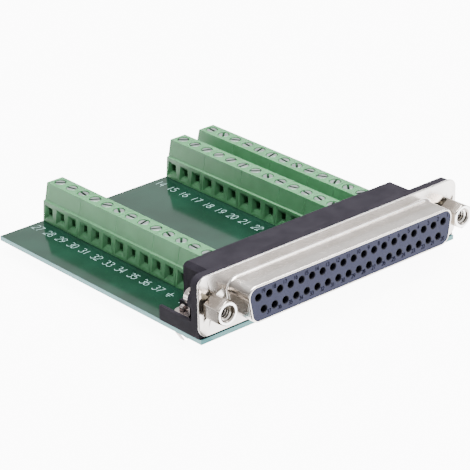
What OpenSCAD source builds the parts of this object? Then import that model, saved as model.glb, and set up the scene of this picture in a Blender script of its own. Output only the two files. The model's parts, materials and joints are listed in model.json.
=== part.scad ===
// Terminal board with a right-angle multipole socket. Sizes in millimetres.
// X runs along the connector, Y from its mating side towards the back of the
// circuit board, and Z is up. The origin is the centre of the contact pattern,
// on the front face of the connector's metal flange.

/* [Contact pattern] */
// Contacts in the longer, upper row; the lower row has one less
upper_count = 19; // [8:1:25]
// Spacing of the contacts along a row
contact_pitch = 2.77; // [2.6:0.01:3]
// Height between the two contact rows
contact_row_gap = 2.84; // [2.7:0.01:3]

/* [Socket shell] */
// Outside height of the D-shaped metal collar
shell_h = 7.9; // [7.6:0.1:8.6]
// Outside of the collar beyond the last contact of the upper row
shell_end_margin = 2.49; // [2.2:0.01:3]
// How far the collar stands out of the flange
shell_reach = 6; // [5:0.1:8]
// Outside corner radius of the collar
shell_corner_r = 2.2; // [1.6:0.1:2.8]
// Lean of the collar's two sides, in degrees
shell_side_angle = 10; // [5:1:14]
// Metal thickness of the collar
shell_t = 0.4; // [0.3:0.05:0.5]
// Radius where the collar is drawn out of the flange
shell_root_r = 0.9; // [0.4:0.1:1.1]
// Rounding of the collar's outer front edge
shell_lip_r = 0.28; // [0.1:0.02:0.3]

/* [Flange] */
// Flange beyond the collar at each end
flange_ear = 7.24; // [6.6:0.01:9]
// Height of the flange
flange_h = 12.55; // [11.8:0.05:13]
// Metal thickness of the flange
flange_t = 0.5; // [0.4:0.05:0.8]
// Corner radius of the flange
flange_corner_r = 2; // [1:0.1:3]
// Jackscrew axis in from the end of the flange
jack_inset = 2.91; // [2.8:0.01:3.2]
// Radius of the flange's hole for the jackscrew
flange_hole_r = 1.6; // [1.55:0.01:1.8]

/* [Insulator] */
// Clearance between the insulator and what it sits in
insulator_gap = 0.05; // [0.03:0.01:0.1]
// Face of the insulator behind the collar's front edge
face_setback = 0.1; // [0:0.05:0.5]
// Radius of the holes that the mating pins enter
pin_hole_r = 0.74; // [0.55:0.01:0.78]
// Extra radius of each hole's flared mouth
pin_mouth_flare = 0.08; // [0.04:0.01:0.15]
// Thickness of the insulator's face in front of the socket contacts
face_t = 0.9; // [0.6:0.1:1.5]
// How far the rear rim of the insulator stands out beyond its nose
rear_rim = 0.7; // [0.5:0.1:0.9]

/* [Socket contacts] */
// Outside radius of the socket's tube
tube_r = 0.85; // [0.75:0.01:0.95]
// Radius of the socket's bore
tube_bore_r = 0.53; // [0.5:0.01:0.6]
// Radial clearance of a tube in the insulator
tube_gap = 0.1; // [0.06:0.01:0.15]
// Width of the strip that leads from a tube to the board
tail_w = 0.6; // [0.5:0.05:0.8]
// Thickness of that strip
tail_t = 0.3; // [0.2:0.05:0.4]
// Radius of the strip's bend, on its centre line
tail_bend_r = 0.8; // [0.5:0.1:1]
// Lower row's tails behind the flange's front face
lower_tail_y = 7.66; // [6:0.1:8]
// From the lower row's tails to the upper row's
tail_row_gap = 2.84; // [2:0.1:2.9]

/* [Bracket] */
// Thickness of the plastic plate behind the flange
plate_t = 2.1; // [1.5:0.1:3]
// Plastic plate in from the metal flange, all round
plate_inset = 0.2; // [0:0.05:0.4]
// Back of the bracket behind the flange's front face
bracket_depth = 12.2; // [11.8:0.1:14]
// Top of the bracket's body over the contact pattern's centre
body_top = 3.85; // [3.4:0.05:5]
// Body of the bracket beyond the collar at each end
body_ear = 0.78; // [0.6:0.01:1.5]
// Wall thickness of the body
body_wall = 1; // [0.8:0.1:1.2]
// Chamfer along the body's two top end edges
body_chamfer = 0.95; // [0.4:0.05:1.2]
// Rounding of the body's top back edge
body_back_r = 0.7; // [0.3:0.1:1.2]
// Height of the side arms' outer walls over the board
arm_h = 3.1; // [2.6:0.1:5]
// Thickness of the side arms' outer walls
arm_wall = 0.75; // [0.6:0.05:0.9]
// Height of the side arms' floors over the board
arm_floor_h = 2.2; // [1:0.1:2.4]
// Back edge of those floors behind the flange's front face
arm_floor_back = 10.1; // [9.8:0.1:11]
// Back of the step between the body and each side arm's floor
step_back = 11.5; // [10.5:0.1:11.7]
// Radius of the boss that carries each ground strap
boss_r = 2.3; // [2.1:0.1:2.5]
// How far the boss stands out behind the plate
boss_reach = 1.6; // [1:0.1:2.6]

/* [Ground straps and board locks] */
// Top of the strap over the jackscrew's axis
strap_top = 2.3; // [2:0.1:2.6]
// Rounding of the strap's two upper corners
strap_corner_r = 1; // [0.3:0.1:1.4]
// Width of the strap
strap_w = 3.4; // [3.3:0.02:3.44]
// Metal thickness of the strap
strap_t = 0.4; // [0.3:0.05:0.6]
// Inside radius of the strap's bend
strap_bend_r = 0.5; // [0.3:0.1:1]
// Length of the strap's foot behind its head's front face
strap_foot = 5.7; // [5.3:0.1:5.9]
// Radius of the threaded collar on the strap's head
strap_collar_r = 1.68; // [1.6:0.01:1.7]
// Length of that collar
strap_collar_l = 1.46; // [0.8:0.02:2]
// Board lock behind the flange's front face
lock_y = 8.1; // [7.8:0.1:8.4]
// Thickness of the board lock's strip
lock_t = 0.3; // [0.2:0.05:0.35]
// Width of the board lock's strip
lock_w = 0.9; // [0.6:0.1:1]
// Radius of the board's hole for a lock
lock_hole_r = 1.6; // [1.5:0.05:1.7]
// Lock's barbs beyond the edge of that hole
lock_barb = 0.25; // [0.1:0.05:0.3]
// Height of those barbs' slopes
lock_slope = 0.35; // [0.2:0.05:0.5]
// Half the gap between the lock's legs where they pass the strap
lock_neck = 0.35; // [0.25:0.05:0.5]
// Top of the lock's arch over the board
lock_arch_h = 3.8; // [3.5:0.1:4.2]

/* [Jackscrews] */
// Size of the hexagon across its flats
jack_af = 4.76; // [4.5:0.01:5]
// Length of the jackscrew in front of the flange
jack_reach = 5; // [4.5:0.1:6.5]
// Radius of the relief under the hexagon
jack_neck_r = 1.95; // [1.8:0.05:2.1]
// Length of that relief
jack_neck_l = 0.35; // [0.2:0.05:0.6]
// Wall radius of the threaded hole
jack_hole_r = 1.22; // [1.1:0.01:1.4]
// Depth of the threaded hole
jack_hole_l = 4.4; // [3.5:0.1:4.6]
// Countersink of the threaded hole, beyond its wall
jack_sink = 0.33; // [0.2:0.01:0.4]
// Radius of the jackscrew's own thread
jack_thread_r = 1.4; // [1.3:0.01:1.45]

/* [Circuit board] */
// Thickness of the board
board_t = 1; // [0.8:0.1:2]
// Top of the board under the contact pattern's centre
board_drop = 6.6; // [6.5:0.05:7.2]
// Side edges of the board in from the ends of the flange
board_side_inset = 0.36; // [0:0.02:1]
// Gap between the bracket and the rows of terminals
row_gap = 0.97; // [0.5:0.01:3]
// Length of every pin and prong under the board
pin_below = 2.6; // [2:0.1:3.4]
// Clearance of each pin in its hole
pin_gap = 0.08; // [0.05:0.01:0.15]
// Spread of the solder round a pin, beyond its hole
solder_spread = 0.28; // [0.1:0.02:0.35]
// Height of the solder on a pin
solder_h = 0.9; // [0.5:0.1:1.2]

/* [Terminal rows] */
// Poles in each row of terminals
pole_count = 13; // [4:1:16]
// Spacing of the poles
pole_pitch = 3.96; // [3.9:0.01:4.2]
// Left row's entry side in from the board's left edge
left_margin = 11.15; // [9:0.05:13]
// Right row's entry side in from the board's right edge
right_margin = 8.2; // [7:0.05:10]
// Gap between the backs of the middle and the right row
back_to_back = 1.45; // [0.6:0.05:3]

/* [Terminal block] */
// Height of a block
block_h = 8.4; // [8.2:0.05:10]
// Depth of a block at its base
block_d = 7; // [6.9:0.05:8]
// Height of the ledge over the wire entries
ledge_h = 4.6; // [4.45:0.05:4.9]
// Lean of the entry side up to the ledge
ledge_lean = 0.35; // [0:0.05:0.5]
// Step back above the ledge
ledge_step = 0.45; // [0.2:0.05:0.5]
// Front edge of the top behind the entry side's foot
top_front = 1.55; // [1.4:0.05:1.8]
// Width of the top
top_w = 4.13; // [3.8:0.01:4.3]
// Height at which the back starts to lean
back_knee_h = 3.5; // [2.5:0.1:4]
// Gap between neighbouring blocks
block_gap = 0.06; // [0.02:0.01:0.2]
// Width of a wire entry's mouth
mouth_w = 3.1; // [2.6:0.05:3.2]
// Height of a wire entry's mouth
mouth_h = 3.85; // [3.4:0.05:3.9]
// Lip under a wire entry
mouth_lip = 0.4; // [0.3:0.05:0.5]
// Depth of the funnel behind the mouth
mouth_depth = 0.8; // [0.6:0.05:1]
// Width of the wire passage
wire_w = 1.25; // [1:0.05:1.6]
// Height of the wire passage
wire_h = 1.65; // [1.3:0.05:1.8]
// Middle of the wire passage over the board
wire_z = 2.3; // [2.1:0.05:2.35]

/* [Clamp] */
// Outside width of a clamp cage along the row
cage_w = 2.8; // [2.6:0.05:2.9]
// Depth of a cage from front to back
cage_d = 2.6; // [2.4:0.05:2.7]
// Height of a cage
cage_h = 4; // [3.9:0.05:4.1]
// Thickness of a cage's sides and floor
cage_t = 0.45; // [0.35:0.05:0.5]
// Thickness of a cage's threaded top
cage_top_t = 0.7; // [0.6:0.05:0.8]
// Opened cage over the board
cage_rest = 0.45; // [0.3:0.05:0.5]
// Clearance round a cage in its block
cage_gap = 0.1; // [0.06:0.01:0.15]
// Thickness of the plastic shoulder that holds a screw's head
shoulder_t = 0.6; // [0.5:0.05:0.7]
// Radius of a clamp screw's head
head_r = 1.2; // [1.1:0.01:1.25]
// Height of a clamp screw's head
head_h = 1.15; // [1:0.05:1.2]
// Top of the head under the top of the block
head_sunk = 0.1; // [0:0.02:0.2]
// Width of the screwdriver slot
slot_w = 0.5; // [0.35:0.05:0.6]
// Depth of the screwdriver slot
slot_h = 0.6; // [0.4:0.05:0.7]
// Radius of a clamp screw's thread
screw_r = 0.9; // [0.8:0.01:1]
// Radial clearance of the screw in all that it turns in
screw_gap = 0.1; // [0.05:0.01:0.1]
// Width of the pins
pin_w = 1; // [0.8:0.05:1.1]
// Thickness of the pins
pin_t = 0.32; // [0.25:0.01:0.35]
// Back face of the pins behind the entry side's foot
pin_back = 5.8; // [5.7:0.05:5.9]

/* [Hidden] */
ROW_NAMES = ["left", "middle", "right"];
SCREW_NODES = [for (row = [0:2]) for (pole = [1:pole_count]) str(ROW_NAMES[row], "_screw_", pole)];
// Segments of a full circle on true curves
$fn = 64;
// Overshoot of a cut past the face that it opens
cut = 0.5;
// Play between small pieces that only have to clear each other
play = 0.05;
// Straight steps of a small rounding, and how far it is rooted in its walls
FILLET_STEPS = 6;
fillet_root = 0.1;
// Steps of the collar's root and of its front edge, and the thickness of a thin slice
ROOT_STEPS = 4;
LIP_STEPS = 3;
sliver = 0.01;

// Outside sizes that follow from the contact pattern
shell_w = (upper_count - 1) * contact_pitch + 2 * shell_end_margin;
flange_w = shell_w + 2 * flange_ear;
jack_x = flange_w / 2 - jack_inset;
body_w = shell_w + 2 * body_ear;
upper_z = contact_row_gap / 2;
lower_z = -contact_row_gap / 2;

// Centres of the collar's four corner arcs, anticlockwise from the upper right
collar_z = shell_h / 2 - shell_corner_r;
collar_top_x = shell_w / 2 - shell_corner_r;
collar_low_x = collar_top_x - 2 * collar_z * tan(shell_side_angle);
COLLAR_ARCS = [
    [collar_top_x, collar_z], [-collar_top_x, collar_z],
    [-collar_low_x, -collar_z], [collar_low_x, -collar_z]
];

// Depths behind the flange's front face
plate_back = flange_t + plate_t;
strap_y = plate_back + boss_reach;
upper_tail_y = lower_tail_y + tail_row_gap;

// Socket contacts, as distances in front of the flange's front face
face_z = shell_reach - face_setback;
tube_front = face_z - face_t;
tube_inset = 0.2;
tube_back = -plate_back + tube_inset;
tube_seat_r = tube_r + tube_gap;
tube_end_l = 0.6;
tube_mouth = 0.2;

// Heights and edges of the circuit board
board_top = -board_drop;
board_low = board_top - board_t;
pin_tip_z = board_low - pin_below;
board_x = flange_w / 2 - board_side_inset;
board_d = bracket_depth + row_gap + pole_count * pole_pitch;
solder_tip_r = 0.32;

// Plastic plate and side arms of the bracket
plate_x = flange_w / 2 - plate_inset;
plate_top = flange_h / 2 - plate_inset;
plate_foot_r = 0.5;
jack_pass_r = jack_thread_r + 2 * play;
strap_bore_r = jack_thread_r + play;
step_x = jack_x - strap_w / 2 - 2 * play;

// Rows of terminals: entry side's foot, and the direction of their depth
right_foot = board_x - right_margin;
ROW_X = [-board_x + left_margin, right_foot - 2 * block_d - back_to_back, right_foot];
ROW_DIR = [1, 1, -1];
BLOCK_POLES = [3, 3, 3, 2, 2];

// Heights in a terminal block, over the board
screw_u = top_front + top_w / 2;
head_top = block_h - head_sunk;
head_low = head_top - head_h;
head_chamfer = 0.12;
tip_chamfer = 0.15;
shoulder_top = head_low - play;
bay_top = shoulder_top - shoulder_t;
cage_top = cage_rest + cage_h;
window_top = cage_top - cage_top_t;
tongue_top = window_top - 3 * play;
screw_tip = tongue_top + 2 * play;
ledge_slope = 0.12;
bay_front = screw_u - cage_d / 2 - cage_gap;
bay_back = screw_u + cage_d / 2 + cage_gap;
pin_reach = 1.1;
pin_hole_round = sqrt(pow(pin_w / 2, 2) + pow(pin_t / 2, 2)) + pin_gap;
tail_hole_round = sqrt(pow(tail_w / 2, 2) + pow(tail_t / 2, 2)) + pin_gap;
// How far each screw was last turned, from its slot along X, in degrees
SLOT_TURNS = [
    [135, 105, 80, 145, 115, 60, 92, 15, 150, 70, 50, 88, 0],
    [135, 160, 160, 140, 155, 0, 138, 50, 85, 108, 82, 75, 30],
    [84, 45, 120, 82, 15, 15, 84, 50, 100, 115, 30, 50, 160]
];

// Middle of a pole, counted from the back edge of the board
function pole_y(pole) = board_d - (pole + 0.5) * pole_pitch;
// First pole of a block
function first_pole(block) = block == 0 ? 0 : first_pole(block - 1) + block_poles(block - 1);
// Poles of a block; the rows take blocks of two once the list has run out
function block_poles(block) = block < len(BLOCK_POLES) ? BLOCK_POLES[block] : 2;
// Outward direction of the collar's side that ends at an arc, in degrees
function side_angle(arc) = [0, 90, 180, 270][arc] + [-shell_side_angle, 0, shell_side_angle, 0][arc];
function around(angle, r) = [r * cos(angle), r * sin(angle)];

// Turns a shape drawn in the mating face, with its height towards the front
module facing() {
    rotate([90, 0, 0]) children();
}

// Prism of an outline in X and Z, from one depth to another
module along_y(y0, y1) {
    translate([0, y1, 0]) rotate([90, 0, 0]) linear_extrude(height = y1 - y0) children();
}

// Prism of an outline in Y and Z, over a length centred on X
module along_x(width) {
    rotate([90, 0, 90]) translate([0, 0, -width / 2]) linear_extrude(height = width) children();
}

module mirrored_pair() {
    children();
    mirror([1, 0, 0]) children();
}

// D outline at a distance r from the quadrilateral of arc centres
module collar_outline(r) {
    polygon([for (arc = [0:3]) for (edge = [0, 1])
        COLLAR_ARCS[arc] + around(side_angle((arc + edge) % 4), r)]);
    for (centre = COLLAR_ARCS) translate(centre) circle(r = r);
}

// Ring that follows a rounded profile: steps of [distance from the arc centres, height]
module stepped_collar(steps) {
    for (i = [0:len(steps) - 2]) hull() for (step = [steps[i], steps[i + 1]])
        translate([0, 0, step[1]]) linear_extrude(height = sliver) collar_outline(step[0], $fn = 32);
}

// Fills the inside corner between two straight lines with a radius
module fillet_profile(r) {
    arc = [for (step = [0:FILLET_STEPS]) [r, r] + around(270 - 90 * step / FILLET_STEPS, r)];
    polygon(concat([[-fillet_root, -fillet_root], [r, -fillet_root]], arc, [[-fillet_root, r]]));
}

module rounded_plate(w, h, r) {
    x = w / 2 - r;
    z = h / 2 - r;
    square([w, h - 2 * r], center = true);
    square([w - 2 * r, h], center = true);
    for (sx = [-1, 1]) for (sz = [-1, 1]) translate([sx * x, sz * z]) circle(r = r);
}

module front_shell() color("gainsboro") facing() difference() {
    union() {
        translate([0, 0, -flange_t]) linear_extrude(height = flange_t)
            rounded_plate(flange_w, flange_h, flange_corner_r);
        linear_extrude(height = shell_reach - shell_lip_r) collar_outline(shell_corner_r);
        stepped_collar([for (i = [0:ROOT_STEPS]) [shell_corner_r - sliver, 0]
            + shell_root_r * [1 - sin(90 * i / ROOT_STEPS), 1 - cos(90 * i / ROOT_STEPS)]]);
        stepped_collar([for (i = [0:LIP_STEPS]) [shell_corner_r, shell_reach]
            + shell_lip_r * [cos(90 * i / LIP_STEPS) - 1, sin(90 * i / LIP_STEPS) - 1]
            - [sliver, i < LIP_STEPS ? 0 : sliver]]);
    }
    translate([0, 0, -flange_t - cut]) linear_extrude(height = shell_reach + flange_t + 2 * cut)
        collar_outline(shell_corner_r - shell_t);
    mirrored_pair() translate([jack_x, 0, -flange_t - cut])
        cylinder(h = flange_t + 2 * cut, r = flange_hole_r);
}

// Places one shape at every contact of a row, with its local z towards the front
module at_contacts(count, z) {
    for (i = [0:count - 1]) translate([(i - (count - 1) / 2) * contact_pitch, z, 0]) children();
}

module insulator_cavity() {
    translate([0, 0, -plate_back - cut]) cylinder(h = tube_front + plate_back + cut, r = tube_seat_r);
    translate([0, 0, tube_front - cut]) cylinder(h = face_t + 2 * cut, r = pin_hole_r);
    translate([0, 0, face_z - pin_mouth_flare])
        cylinder(h = 2 * pin_mouth_flare, r1 = pin_hole_r, r2 = pin_hole_r + 2 * pin_mouth_flare);
}

module contact_insulator() color("slategray") facing() difference() {
    union() {
        translate([0, 0, -plate_back]) linear_extrude(height = plate_back + face_z)
            collar_outline(shell_corner_r - shell_t - insulator_gap);
        translate([0, 0, -plate_back]) linear_extrude(height = plate_t)
            collar_outline(shell_corner_r - shell_t + rear_rim);
    }
    at_contacts(upper_count, upper_z) insulator_cavity();
    at_contacts(upper_count - 1, lower_z) insulator_cavity();
}

// Strip that runs back at height z and bends down through the board at tail_y
module contact_tail(z, tail_y) {
    start = plate_back - tube_end_l;
    bend_y = tail_y - tail_bend_r;
    bend_z = z - tail_bend_r;
    half = tail_t / 2;
    along_x(tail_w) {
        translate([start, z - half]) square([bend_y - start, tail_t]);
        translate([tail_y - half, pin_tip_z]) square([tail_t, bend_z - pin_tip_z]);
        translate([bend_y, bend_z]) intersection() {
            difference() {
                circle(r = tail_bend_r + half);
                circle(r = tail_bend_r - half);
            }
            square(tail_bend_r + tail_t);
        }
    }
}

// Solder cone on the underside of the board, round a pin
module solder(hole_r) {
    translate([0, 0, board_low - solder_h])
        cylinder(h = solder_h, r1 = solder_tip_r, r2 = hole_r + solder_spread);
}

module socket_contact(z, tail_y) {
    translate([0, 0, z]) facing() difference() {
        translate([0, 0, tube_back]) cylinder(h = tube_front - tube_mouth - tube_back, r = tube_r);
        translate([0, 0, tube_back + tube_end_l]) cylinder(h = tube_front, r = tube_bore_r);
    }
    contact_tail(z, tail_y);
    translate([0, tail_y, 0]) solder(tail_hole_round);
}

module contact_row(count, z, tail_y) color("gold") {
    for (i = [0:count - 1]) translate([(i - (count - 1) / 2) * contact_pitch, 0, 0])
        socket_contact(z, tail_y);
}

// Outline of the plastic plate: rounded above, nearly square where it meets the board
module plate_outline() {
    difference() {
        union() {
            rounded_plate(2 * plate_x, 2 * plate_top, flange_corner_r);
            translate([-plate_x, board_top]) square([2 * plate_x, board_drop]);
        }
        mirrored_pair() translate([plate_x, board_top]) mirror([1, 0]) fillet_profile(plate_foot_r);
    }
}

// Body behind the plate, with chamfered end edges and a rounded back edge
module bracket_body() {
    half = body_w / 2;
    intersection() {
        along_y(flange_t, bracket_depth) polygon([
            [-half, board_top], [half, board_top], [half, body_top - body_chamfer],
            [half - body_chamfer, body_top], [body_chamfer - half, body_top], [-half, body_top - body_chamfer]
        ]);
        along_x(body_w) difference() {
            translate([flange_t, board_top]) square([bracket_depth - flange_t, body_top - board_top]);
            translate([bracket_depth, body_top]) rotate(180) fillet_profile(body_back_r);
        }
    }
}

// One side arm: an outer wall, a floor that carries the strap's foot, and a step along the body
module side_arm() {
    translate([plate_x - arm_wall, flange_t, board_top])
        cube([arm_wall, bracket_depth - flange_t, arm_h]);
    difference() {
        translate([step_x - body_wall, flange_t, board_top])
            cube([plate_x - step_x + body_wall, arm_floor_back - flange_t, arm_floor_h]);
        translate([jack_x, lock_y, board_top - cut])
            cylinder(h = arm_floor_h + 2 * cut, r = lock_hole_r);
    }
    translate([body_w / 2 - body_wall, flange_t, board_top])
        cube([step_x - body_w / 2 + body_wall, step_back - flange_t, arm_h]);
}

module angle_bracket() color("dimgray") difference() {
    union() {
        along_y(flange_t, plate_back) plate_outline();
        bracket_body();
        mirrored_pair() side_arm();
        mirrored_pair() translate([jack_x, flange_t, 0]) rotate([-90, 0, 0])
            cylinder(h = plate_t + boss_reach, r = boss_r);
    }
    along_y(flange_t - cut, plate_back)
        collar_outline(shell_corner_r - shell_t + rear_rim + insulator_gap);
    translate([body_wall - body_w / 2, plate_back - cut, board_top - cut])
        cube([body_w - 2 * body_wall, bracket_depth - body_wall - plate_back + cut,
            body_top - body_wall + board_drop + cut]);
    mirrored_pair() translate([jack_x, 0, 0]) rotate([-90, 0, 0])
        cylinder(h = bracket_depth, r = jack_pass_r);
}

module jackscrew() color("silver") facing() difference() {
    union() {
        intersection() {
            translate([0, 0, jack_neck_l]) rotate(30)
                cylinder(h = jack_reach - jack_neck_l, r = jack_af / sqrt(3), $fn = 6);
            union() {
                cylinder(h = jack_reach - jack_sink, r = jack_af);
                translate([0, 0, jack_reach - jack_sink])
                    cylinder(h = jack_sink, r1 = jack_af / 2 + jack_sink, r2 = jack_af / 2 - 2 * play);
            }
        }
        cylinder(h = jack_reach / 2, r = jack_neck_r);
        translate([0, 0, -strap_y - strap_t - strap_collar_l])
            cylinder(h = strap_y + strap_t + strap_collar_l + jack_neck_l, r = jack_thread_r);
    }
    translate([0, 0, jack_reach - jack_hole_l]) cylinder(h = jack_hole_l + cut, r = jack_hole_r);
    translate([0, 0, jack_reach - jack_sink])
        cylinder(h = 2 * jack_sink, r1 = jack_hole_r, r2 = jack_hole_r + 2 * jack_sink);
}

// Strap that joins the jackscrew's thread to the board lock
module ground_strap() color("lightgray") {
    foot_z = board_top + arm_floor_h;
    bend = strap_bend_r + strap_t;
    foot_end = strap_y + strap_foot - strap_w / 2;
    corner_x = strap_w / 2 - strap_corner_r;
    corner_z = strap_top - strap_corner_r;
    difference() {
        union() {
            along_y(strap_y, strap_y + strap_t) {
                translate([-strap_w / 2, foot_z + bend]) square([strap_w, corner_z - foot_z - bend]);
                translate([-corner_x, corner_z]) square([2 * corner_x, strap_corner_r]);
                for (side = [-1, 1]) translate([side * corner_x, corner_z]) circle(r = strap_corner_r);
            }
            translate([0, strap_y + strap_t, 0]) rotate([-90, 0, 0])
                cylinder(h = strap_collar_l, r = strap_collar_r);
        }
        translate([0, strap_y - cut, 0]) rotate([-90, 0, 0])
            cylinder(h = strap_t + strap_collar_l + 2 * cut, r = strap_bore_r);
    }
    along_x(strap_w) translate([strap_y + bend, foot_z + bend]) intersection() {
        difference() {
            circle(r = bend);
            circle(r = strap_bend_r);
        }
        translate([-bend, -bend]) square(bend);
    }
    translate([0, 0, foot_z]) linear_extrude(height = strap_t) difference() {
        union() {
            translate([-strap_w / 2, strap_y + bend]) square([strap_w, foot_end - strap_y - bend]);
            translate([0, foot_end]) circle(r = strap_w / 2);
        }
        translate([0, lock_y]) circle(r = norm([lock_neck + lock_t, lock_w / 2]) + play);
    }
}

// Straight strip of the board lock between two points
module lock_stretch(a, b) {
    along = b - a;
    translate(a) rotate(atan2(along[1], along[0])) translate([0, -lock_t / 2]) square([norm(along), lock_t]);
    for (end = [a, b]) translate(end) circle(r = lock_t / 2, $fn = 24);
}

// Hairpin of sprung strip: an arch, two legs, and barbs that catch under the board
module board_lock() color("lightgray") translate([0, lock_y, 0]) {
    half = lock_t / 2;
    leg_x = lock_neck + half;
    arch_z = board_top + lock_arch_h - leg_x - half;
    in_hole = lock_hole_r - half - play - lock_barb;
    barb_x = lock_hole_r + lock_barb - half;
    barb_z = board_low - lock_t - lock_slope;
    along_y(-lock_w / 2, lock_w / 2) {
        mirrored_pair() {
            lock_stretch([leg_x, arch_z], [leg_x, board_top + arm_floor_h - half]);
            lock_stretch([leg_x, board_top + arm_floor_h - half], [in_hole, board_top - half]);
            lock_stretch([in_hole, board_top - half], [in_hole, board_low]);
            lock_stretch([in_hole, board_low], [barb_x, barb_z]);
            lock_stretch([barb_x, barb_z], [leg_x, pin_tip_z + half]);
        }
        translate([0, arch_z]) intersection() {
            difference() {
                circle(r = leg_x + half);
                circle(r = leg_x - half);
            }
            translate([-leg_x - half, 0]) square([2 * leg_x + lock_t, leg_x + half]);
        }
    }
}

module circuit_board() color("seagreen") difference() {
    translate([-board_x, 0, board_low]) cube([2 * board_x, board_d, board_t]);
    translate([0, 0, board_low - cut]) {
        for (i = [0:upper_count - 1])
            translate([(i - (upper_count - 1) / 2) * contact_pitch, upper_tail_y, 0])
            cylinder(h = board_t + 2 * cut, r = tail_hole_round);
        for (i = [0:upper_count - 2])
            translate([(i - (upper_count - 2) / 2) * contact_pitch, lower_tail_y, 0])
            cylinder(h = board_t + 2 * cut, r = tail_hole_round);
        mirrored_pair() translate([jack_x, lock_y, 0]) cylinder(h = board_t + 2 * cut, r = lock_hole_r);
    }
    for (row = [0:2]) at_poles(row) translate([pin_back - pin_t / 2, 0, -board_t - cut])
        cylinder(h = board_t + 2 * cut, r = pin_hole_round);
}

// Local frame of a row: x is the depth from the entry side's foot, z the height over the board
module in_row(row) {
    translate([ROW_X[row], 0, board_top]) scale([ROW_DIR[row], 1, 1]) children();
}

module at_poles(row) {
    for (pole = [0:pole_count - 1]) in_row(row) translate([0, pole_y(pole), 0]) children();
}

// Side view of a terminal block
module block_profile() {
    polygon([
        [0, 0], [block_d, 0], [block_d, back_knee_h], [top_front + top_w, block_h],
        [top_front, block_h], [ledge_lean + ledge_step, ledge_h + ledge_slope], [ledge_lean, ledge_h]
    ]);
}

// Four-sided funnel from the mouth down to the wire passage
module wire_funnel() {
    depth = mouth_depth + cut;
    grow = 1 + cut / mouth_depth;
    wide = wire_w / 2 + (mouth_w - wire_w) / 2 * grow;
    low = wire_z - wire_h / 2;
    high = wire_z + wire_h / 2;
    mouth_top = mouth_lip + mouth_h;
    intersection() {
        along_y(-wide, wide) polygon([
            [mouth_depth, low], [mouth_depth, high],
            [mouth_depth - depth, high + (mouth_top - high) * grow],
            [mouth_depth - depth, low - (low - mouth_lip) * grow]
        ]);
        translate([0, 0, -block_h]) linear_extrude(height = 2 * block_h) polygon([
            [mouth_depth, -wire_w / 2], [mouth_depth, wire_w / 2],
            [mouth_depth - depth, wide], [mouth_depth - depth, -wide]
        ]);
    }
}

// All that is cut out of a block for one pole
module pole_cuts() {
    bay = cage_w + 2 * cage_gap;
    leg_bay = pin_back + cage_gap;
    wire_funnel();
    translate([mouth_depth - sliver, -wire_w / 2, wire_z - wire_h / 2]) cube([bay_front, wire_w, wire_h]);
    translate([bay_front, -bay / 2, -cut]) cube([bay_back - bay_front, bay, bay_top + cut]);
    translate([bay_front, -pin_w / 2 - cage_gap, -cut])
        cube([leg_bay - bay_front, pin_w + 2 * cage_gap, tongue_top + cage_gap + cut]);
    translate([screw_u, 0, 0]) {
        cylinder(h = block_h, r = screw_r + screw_gap);
        translate([0, 0, shoulder_top]) cylinder(h = block_h, r = head_r + screw_gap);
    }
}

module terminal_block(row, block) {
    poles = block_poles(block);
    y1 = board_d - first_pole(block) * pole_pitch - block_gap / 2;
    y0 = y1 - poles * pole_pitch + block_gap;
    in_row(row) difference() {
        along_y(y0, y1) block_profile();
        for (pole = [0:poles - 1]) translate([0, pole_y(first_pole(block) + pole), 0]) pole_cuts();
    }
}

module terminal_blocks(row) color("darkseagreen") {
    for (block = [0:pole_count]) {
        if (first_pole(block) + block_poles(block) <= pole_count) terminal_block(row, block);
    }
}

module clamp_cage() translate([screw_u, 0, cage_rest]) difference() {
    translate([-cage_d / 2, -cage_w / 2, 0]) cube([cage_d, cage_w, cage_h]);
    translate([-cage_d / 2 - cut, cage_t - cage_w / 2, cage_t])
        cube([cage_d + 2 * cut, cage_w - 2 * cage_t, cage_h - cage_t - cage_top_t]);
    cylinder(h = cage_h + cut, r = screw_r + screw_gap);
}

module clamp_cages(row) color("silver") at_poles(row) clamp_cage();

// Pin with a tongue that the wire is clamped against
module terminal_pin() {
    tip = -board_t - pin_below;
    front = screw_u - pin_reach;
    along_y(-pin_w / 2, pin_w / 2) {
        translate([front, tongue_top - pin_t]) square([pin_back - front, pin_t]);
        translate([pin_back - pin_t, tip]) square([pin_t, tongue_top - tip]);
    }
    translate([pin_back - pin_t / 2, 0, -board_top]) solder(pin_hole_round);
}

module terminal_pins(row) color("silver") at_poles(row) terminal_pin();

module clamp_screw(row, pole) color("silver") in_row(row) translate([screw_u, pole_y(pole), 0]) difference() {
    rotate_extrude() polygon([
        [0, screw_tip], [screw_r - tip_chamfer, screw_tip], [screw_r, screw_tip + tip_chamfer],
        [screw_r, head_low], [head_r, head_low], [head_r, head_top - head_chamfer],
        [head_r - head_chamfer, head_top], [0, head_top]
    ]);
    translate([0, 0, head_top - slot_h]) rotate(slot_turn(row, pole))
        translate([-head_r - cut, -slot_w / 2, 0])
        cube([2 * (head_r + cut), slot_w, slot_h + cut]);
}

// Slot's direction in the row's own frame, which the right row mirrors
function slot_turn(row, pole) = ROW_DIR[row] * SLOT_TURNS[row][pole % len(SLOT_TURNS[row])];

circuit_board();
front_shell();
contact_insulator();
contact_row(upper_count, upper_z, upper_tail_y);  // upper_contacts
contact_row(upper_count - 1, lower_z, lower_tail_y);  // lower_contacts
angle_bracket();
translate([-jack_x, 0, 0]) jackscrew();  // left_jackscrew
translate([jack_x, 0, 0]) jackscrew();  // right_jackscrew
translate([-jack_x, 0, 0]) ground_strap();  // left_ground_strap
translate([jack_x, 0, 0]) ground_strap();  // right_ground_strap
mirrored_pair() translate([jack_x, 0, 0]) board_lock();  // board_locks
for (row = [0:2]) {
    terminal_blocks(row);
    clamp_cages(row);
    terminal_pins(row);
    for (pole = [0:pole_count - 1]) {
        clamp_screw(row, pole);
    }
}
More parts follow.
